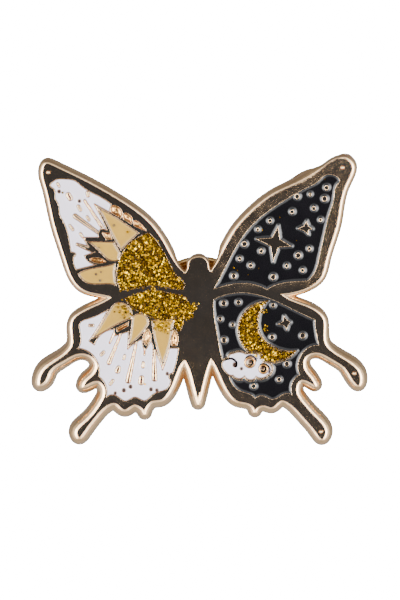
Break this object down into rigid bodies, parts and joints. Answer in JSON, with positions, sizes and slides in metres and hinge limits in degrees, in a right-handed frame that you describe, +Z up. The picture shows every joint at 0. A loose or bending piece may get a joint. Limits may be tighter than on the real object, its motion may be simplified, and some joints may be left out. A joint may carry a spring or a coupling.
{
  "type": "enamel pin",
  "caption": "Moth-shaped enamel pin: gold-plated plate with sun, ray, moon and star enamel pools, a soldered post and a removable butterfly clutch.",
  "frame": {"origin": "on the flat back of the plate, 1.5 mm above the post axis, between the wings", "axes": "+Z up as worn, +X to the moon wing (right as seen from the front), +Y out of the back along the post; the enamel faces -Y"},
  "size_m": [0.0348, 0.0108, 0.0305],
  "materials": {
    "gold_plate": "pale gold plating over die-cast alloy, mirror bright, hairline scratches",
    "white_enamel": "glossy cured white enamel, slightly milky where it thins at the metal",
    "cream_enamel": "glossy cured cream enamel",
    "night_enamel": "glossy blue-black enamel",
    "glitter_enamel": "clear enamel full of gold glitter flakes",
    "post_metal": "gold-plated drawn wire",
    "solder": "plated-over solder fillet, satin",
    "clutch_metal": "bright stamped brass",
    "spring_metal": "bright spring brass, fine rolling grain"
  },
  "bodies": {
    "plate": {"base_plate": "gold_plate", "pin_post": "post_metal", "post_solder": "solder", "enamel_white_upper": "white_enamel", "enamel_white_lower": "white_enamel", "enamel_cloud": "white_enamel", "enamel_night_upper": "night_enamel", "enamel_night_lower": "night_enamel", "enamel_moon": "glitter_enamel", "enamel_cream_upper_1": "cream_enamel", "enamel_cream_upper_2": "cream_enamel", "enamel_cream_upper_3": "cream_enamel", "enamel_cream_lower_1": "cream_enamel", "enamel_cream_lower_2": "cream_enamel", "enamel_cream_lower_3": "cream_enamel", "enamel_sun_upper": "glitter_enamel", "enamel_sun_lower": "glitter_enamel", "enamel_sun_drop": "glitter_enamel"},
    "clutch": {"clutch_base": "clutch_metal"},
    "spring": {"clutch_spring_seat": "spring_metal"},
    "wing_right": {"clutch_wing_right": "spring_metal"},
    "wing_left": {"clutch_wing_left": "spring_metal"}
  },
  "joints": [
    {"name": "clutch_slide", "type": "slide", "parent": "plate", "child": "clutch", "axis": [0, 1, 0], "range_m": [-0.0018, 0.012]},
    {"name": "spring_turn", "type": "hinge", "parent": "clutch", "child": "spring", "pos_m": [0, 0.00315, -0.0015], "axis": [0, 1, 0], "continuous": true},
    {"name": "wing_right_squeeze", "type": "hinge", "parent": "spring", "child": "wing_right", "pos_m": [-0.0023, 0.00373, -0.0015], "axis": [0, 0, 1], "range_deg": [0, 9], "stiffness_Nm_per_rad": 0.02},
    {"name": "wing_left_squeeze", "type": "hinge", "parent": "spring", "child": "wing_left", "pos_m": [0.0023, 0.00413, -0.0015], "axis": [0, 0, -1], "range_deg": [0, 9], "stiffness_Nm_per_rad": 0.02}
  ],
  "couplings": [
    {"joint": "wing_left_squeeze", "follows": "wing_right_squeeze", "ratio": 1}
  ]
}
